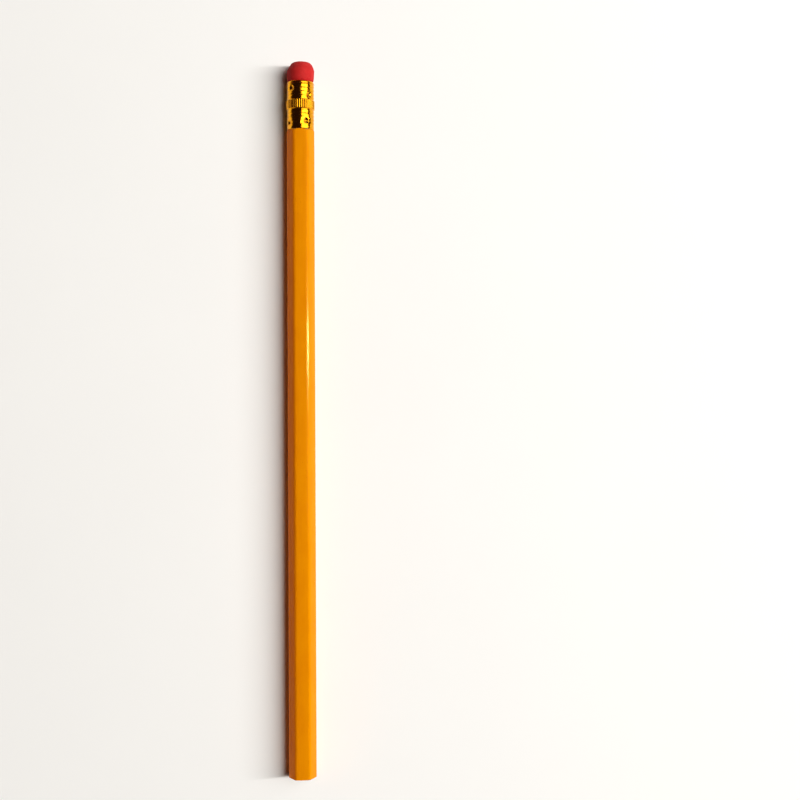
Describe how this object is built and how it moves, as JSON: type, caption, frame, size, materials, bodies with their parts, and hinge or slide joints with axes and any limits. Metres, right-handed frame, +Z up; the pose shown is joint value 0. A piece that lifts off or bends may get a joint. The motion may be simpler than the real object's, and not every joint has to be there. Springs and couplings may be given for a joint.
{
  "type": "graphite pencil",
  "caption": "Unsharpened hexagonal wood-cased graphite pencil with a yellow lacquered barrel, a beaded gold metal ferrule and a red eraser, for writing and drawing.",
  "frame": {"origin": "bottom centre of the bounding box, on the plane the pencil lies on", "axes": "+Y along the pencil from the sawn writing end to the eraser, +Z up out of the top flat, +X to the right seen from above with the eraser away from the viewer"},
  "size_m": [0.0074, 0.19, 0.0075],
  "materials": {
    "lead": "fired graphite and clay, dark grey with a soft metallic sheen",
    "wood": "bare incense cedar, sawn across the grain at the end",
    "glue": "dried white adhesive",
    "lacquer": "several coats of glossy orange-yellow lacquer",
    "ferrule": "rolled and beaded, polished gold-tone",
    "eraser": "moulded red rubber, matt, with a little dust on it"
  },
  "bodies": {
    "root": {"graphite_core": "lead", "slat_upper": "wood", "slat_lower": "wood", "glue_film": "glue", "lacquer_coat": "lacquer", "ferrule": "ferrule", "eraser": "eraser"}
  },
  "joints": []
}
